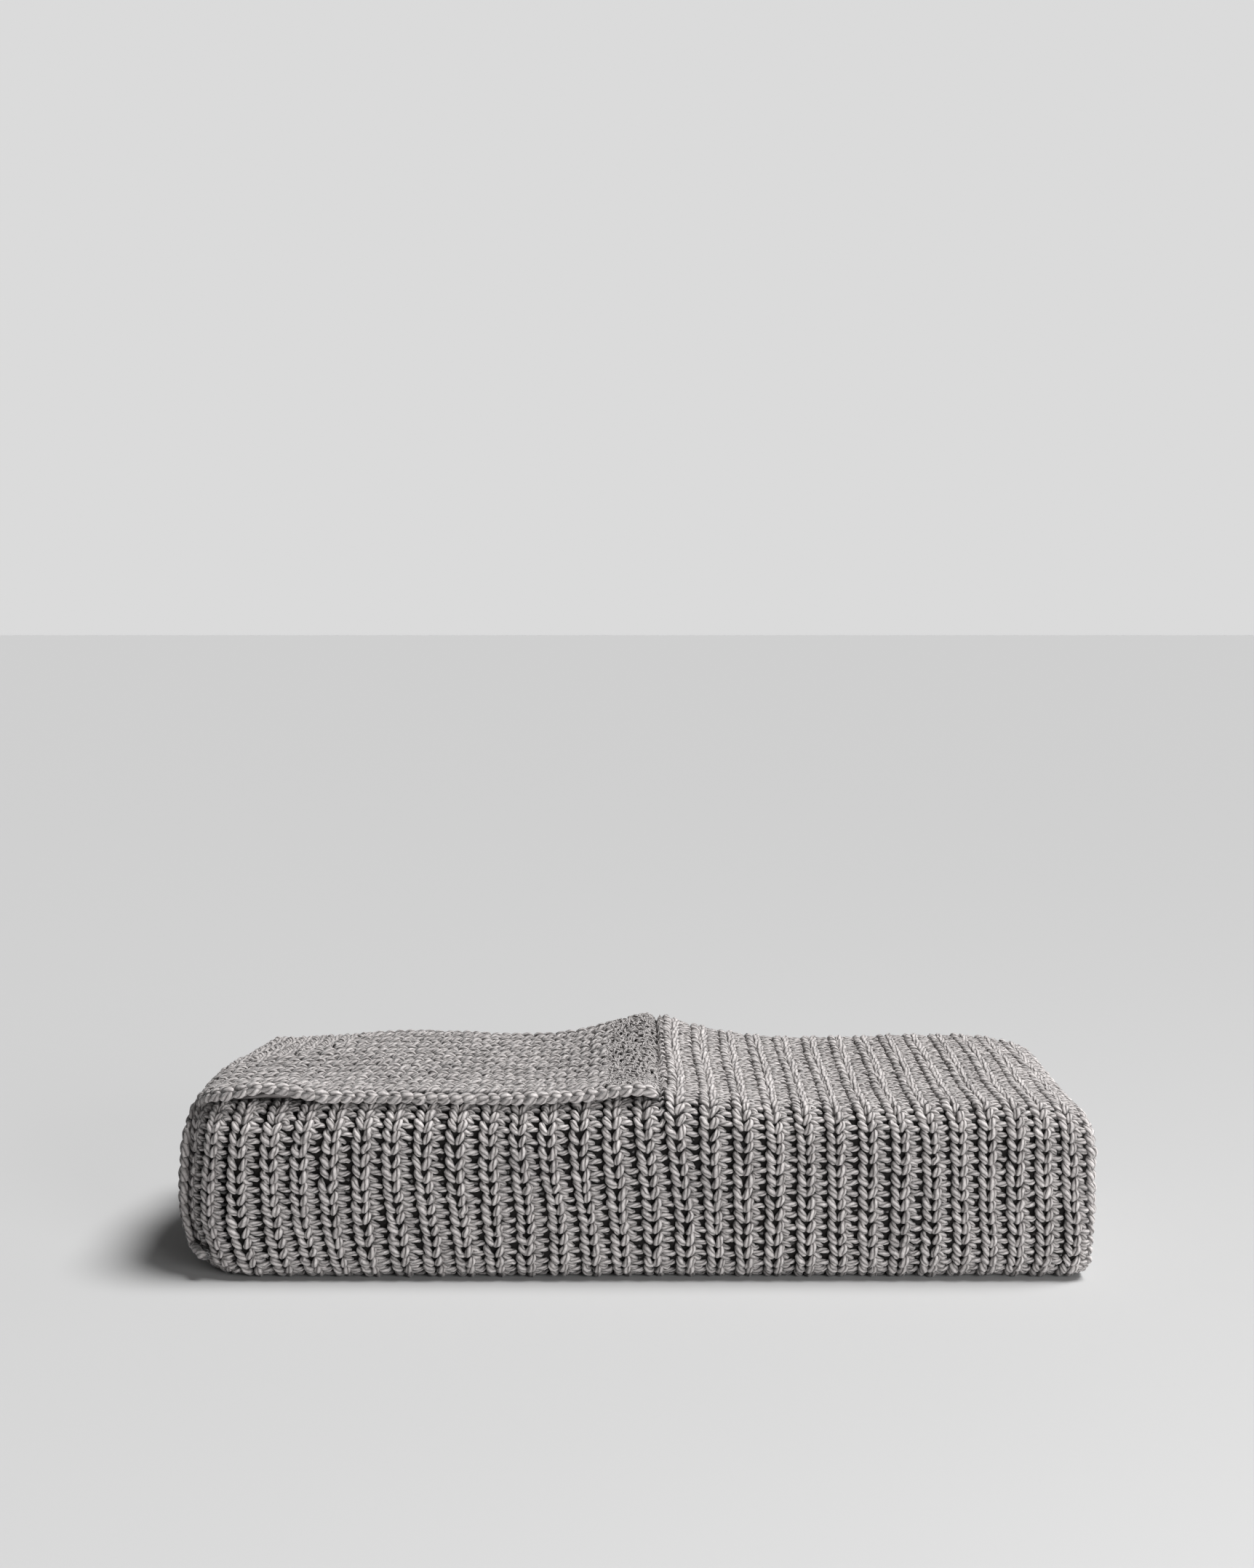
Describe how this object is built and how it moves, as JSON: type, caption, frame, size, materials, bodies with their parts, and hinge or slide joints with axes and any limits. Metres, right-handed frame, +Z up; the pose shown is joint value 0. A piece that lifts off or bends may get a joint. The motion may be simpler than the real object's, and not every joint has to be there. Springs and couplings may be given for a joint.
{
  "type": "folded knitted throw blanket",
  "caption": "Chunky rib-knit throw in heather grey, folded into a low rectangular stack with one corner turned over the top to the middle.",
  "frame": {"origin": "under the middle of the folded stack, on the surface that it lies on", "axes": "+Z up, the tall closed fold faces -Y, the turned-over corner covers the top's -X half"},
  "size_m": [0.5996, 0.2, 0.1363],
  "materials": {
    "heather_grey_knit": "soft twisted heather yarn, matt"
  },
  "bodies": {
    "root": {"throw_blanket": "heather_grey_knit"}
  },
  "joints": []
}
